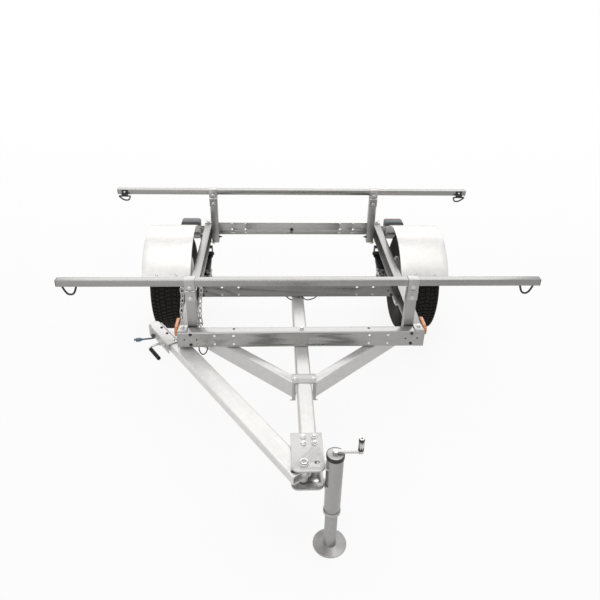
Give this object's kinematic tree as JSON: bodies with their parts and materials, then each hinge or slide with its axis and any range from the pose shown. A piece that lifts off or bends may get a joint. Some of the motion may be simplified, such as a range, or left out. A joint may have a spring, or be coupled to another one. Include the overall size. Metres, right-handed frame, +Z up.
{
  "type": "boat trailer",
  "caption": "Light galvanised boat trailer with two raised load bars, leaf-sprung axle, half-round fenders, a tongue folded back beside the frame and a jack with a foot plate.",
  "frame": {"origin": "centre of the footprint at the ground", "axes": "+X towards the trailer's right-hand load bar ends as seen from the front, -Y towards the towing vehicle, +Z up"},
  "size_m": [1.981, 1.954, 0.683],
  "materials": {
    "zinc": "galvanised",
    "wheel_steel": "satin silver paint",
    "tyre_rubber": "matt",
    "black_steel": "black paint",
    "black_coat": "matt",
    "lamp_case": "matt",
    "lamp_red": "gloss",
    "amber": "gloss",
    "plug_grey": "matt"
  },
  "bodies": {
    "frame": {"axle_beam": "zinc", "axle_clamps": "zinc", "bar_end_caps": "black_coat", "bar_straps": "zinc", "brace_cap": "zinc", "chain_hook": "zinc", "corner_plates": "zinc", "crossmember_front": "zinc", "crossmember_middle": "zinc", "crossmember_rear": "zinc", "fender_brackets": "zinc", "fenders": "zinc", "hinge_pin": "zinc", "hinge_plates": "zinc", "jack_clamp": "zinc", "jack_crank": "zinc", "jack_tube": "zinc", "lamp_brackets": "zinc", "lamp_lenses": "lamp_red", "leaf_springs": "black_steel", "load_bar_front": "zinc", "load_bar_rear": "zinc", "loop_tabs": "black_coat", "post_brackets": "zinc", "posts": "zinc", "safety_chain": "zinc", "side_markers": "amber", "side_rails": "zinc", "spring_hangers": "zinc", "tail_lamps": "lamp_case", "tie_loops": "black_coat", "tongue_braces": "zinc", "tongue_fixed": "zinc"},
    "wheel_left": {"hub_left": "zinc", "rim_left": "wheel_steel", "tyre_left": "tyre_rubber"},
    "wheel_right": {"hub_right": "zinc", "rim_right": "wheel_steel", "tyre_right": "tyre_rubber"},
    "front_tongue": {"coupler": "zinc", "coupler_latch": "zinc", "handle_grip": "black_coat", "lead_plug": "plug_grey", "lift_handle": "zinc", "plug_lead": "black_coat", "tongue_front": "zinc"},
    "jack_leg": {"jack_leg": "zinc"}
  },
  "joints": [
    {"name": "wheel_left_spin", "type": "hinge", "parent": "frame", "child": "wheel_left", "pos_m": [-0.655, 0.577, 0.26], "axis": [1, 0, 0], "continuous": true},
    {"name": "wheel_right_spin", "type": "hinge", "parent": "frame", "child": "wheel_right", "pos_m": [0.655, 0.577, 0.26], "axis": [1, 0, 0], "continuous": true},
    {"name": "tongue_fold", "type": "hinge", "parent": "frame", "child": "front_tongue", "pos_m": [-0.0214, -0.905, 0.347], "axis": [0, 0, 1], "range_deg": [0, 146.13]},
    {"name": "jack_slide", "type": "slide", "parent": "frame", "child": "jack_leg", "axis": [0, 0, 1], "range_m": [0, 0.12]}
  ]
}
